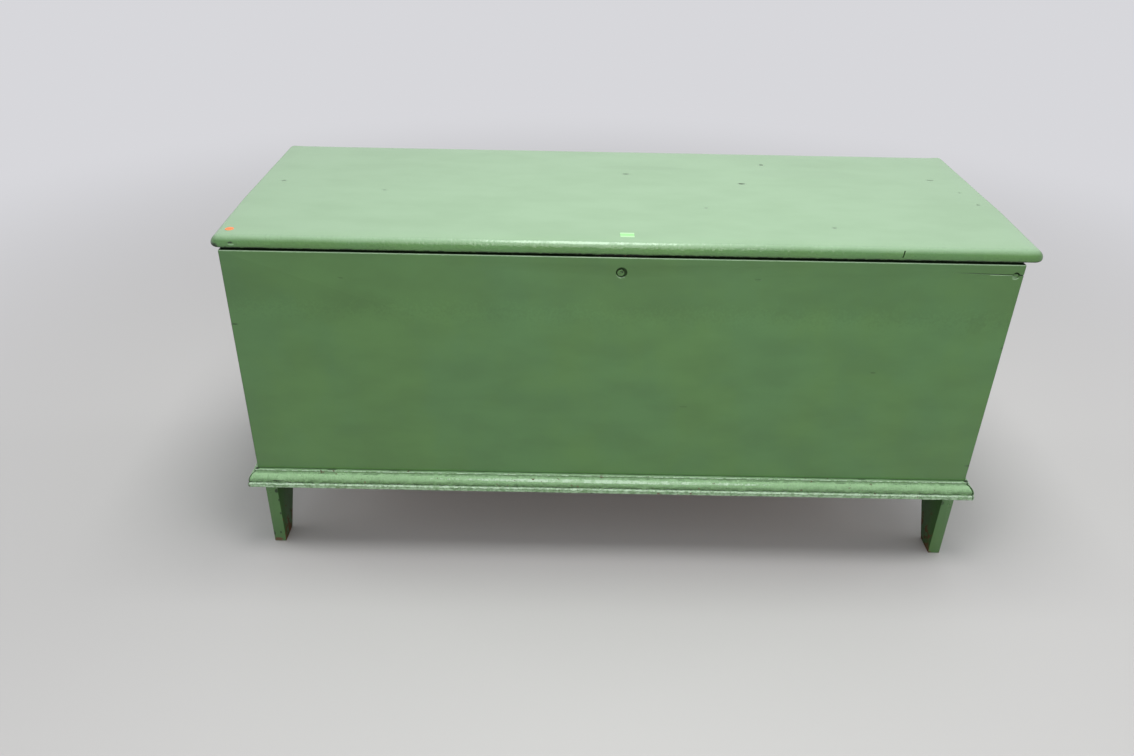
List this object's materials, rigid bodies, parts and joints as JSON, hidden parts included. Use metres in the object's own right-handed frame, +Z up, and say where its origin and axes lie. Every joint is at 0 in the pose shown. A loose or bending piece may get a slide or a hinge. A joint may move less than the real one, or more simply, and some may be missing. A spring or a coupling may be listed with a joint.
{
  "type": "blanket chest",
  "caption": "Painted six-board blanket chest on sawn feet, with a hinged rolled-edge lid, a mitred base moulding and a chest lock.",
  "frame": {"origin": "on the floor, in the middle of the chest's outline seen from above", "axes": "+X along the length to the right end, +Y from the front to the back, +Z up"},
  "size_m": [1.3036, 0.513, 0.6222],
  "materials": {
    "green_paint": "semi-gloss green paint over wood, brushed by hand",
    "bare_wood": "unpainted softwood, darkened with age",
    "nail_iron": "rusted",
    "hinge_iron": "dark, worn",
    "lock_iron": "dark, worn",
    "lock_brass": "dull, partly painted over",
    "screw_steel": "dull"
  },
  "bodies": {
    "case": {"front_board": "green_paint", "back_board": "green_paint", "end_board_left": "green_paint", "end_board_right": "green_paint", "bottom_board": "bare_wood", "base_moulding_front": "green_paint", "base_moulding_left": "green_paint", "base_moulding_right": "green_paint", "front_nails": "nail_iron", "back_nails": "nail_iron", "moulding_brads": "nail_iron", "hinge_case_screws": "screw_steel", "lock_plate": "lock_iron", "lock_case": "lock_iron", "lock_barrel": "lock_brass", "lock_guide_posts": "lock_iron", "lock_spring": "screw_steel", "lock_screws": "screw_steel", "hinge_case_leaf_left": "hinge_iron", "hinge_pin_left": "hinge_iron", "hinge_case_leaf_right": "hinge_iron", "hinge_pin_right": "hinge_iron"},
    "lid": {"lid_board": "green_paint", "hinge_lid_leaf_left": "hinge_iron", "hinge_lid_leaf_right": "hinge_iron", "hinge_lid_screws": "screw_steel", "staple_plate": "lock_iron", "staple_screws": "screw_steel"},
    "key_plug": {"lock_plug": "lock_brass"},
    "bolt": {"lock_bolt": "lock_iron"}
  },
  "joints": [
    {"name": "lid_hinge", "type": "hinge", "parent": "case", "child": "lid", "pos_m": [-0.00575, 0.2443, 0.60085], "axis": [-1, 0, 0], "range_deg": [0, 128]},
    {"name": "key_turn", "type": "hinge", "parent": "case", "child": "key_plug", "pos_m": [-0.00575, -0.2315, 0.5732], "axis": [0, 1, 0], "range_deg": [0, 90]},
    {"name": "bolt_slide", "type": "slide", "parent": "case", "child": "bolt", "axis": [1, 0, 0], "range_m": [0, 0.00848]}
  ],
  "couplings": [
    {"joint": "key_turn", "follows": "bolt_slide", "rad_per_m": 185.12}
  ]
}
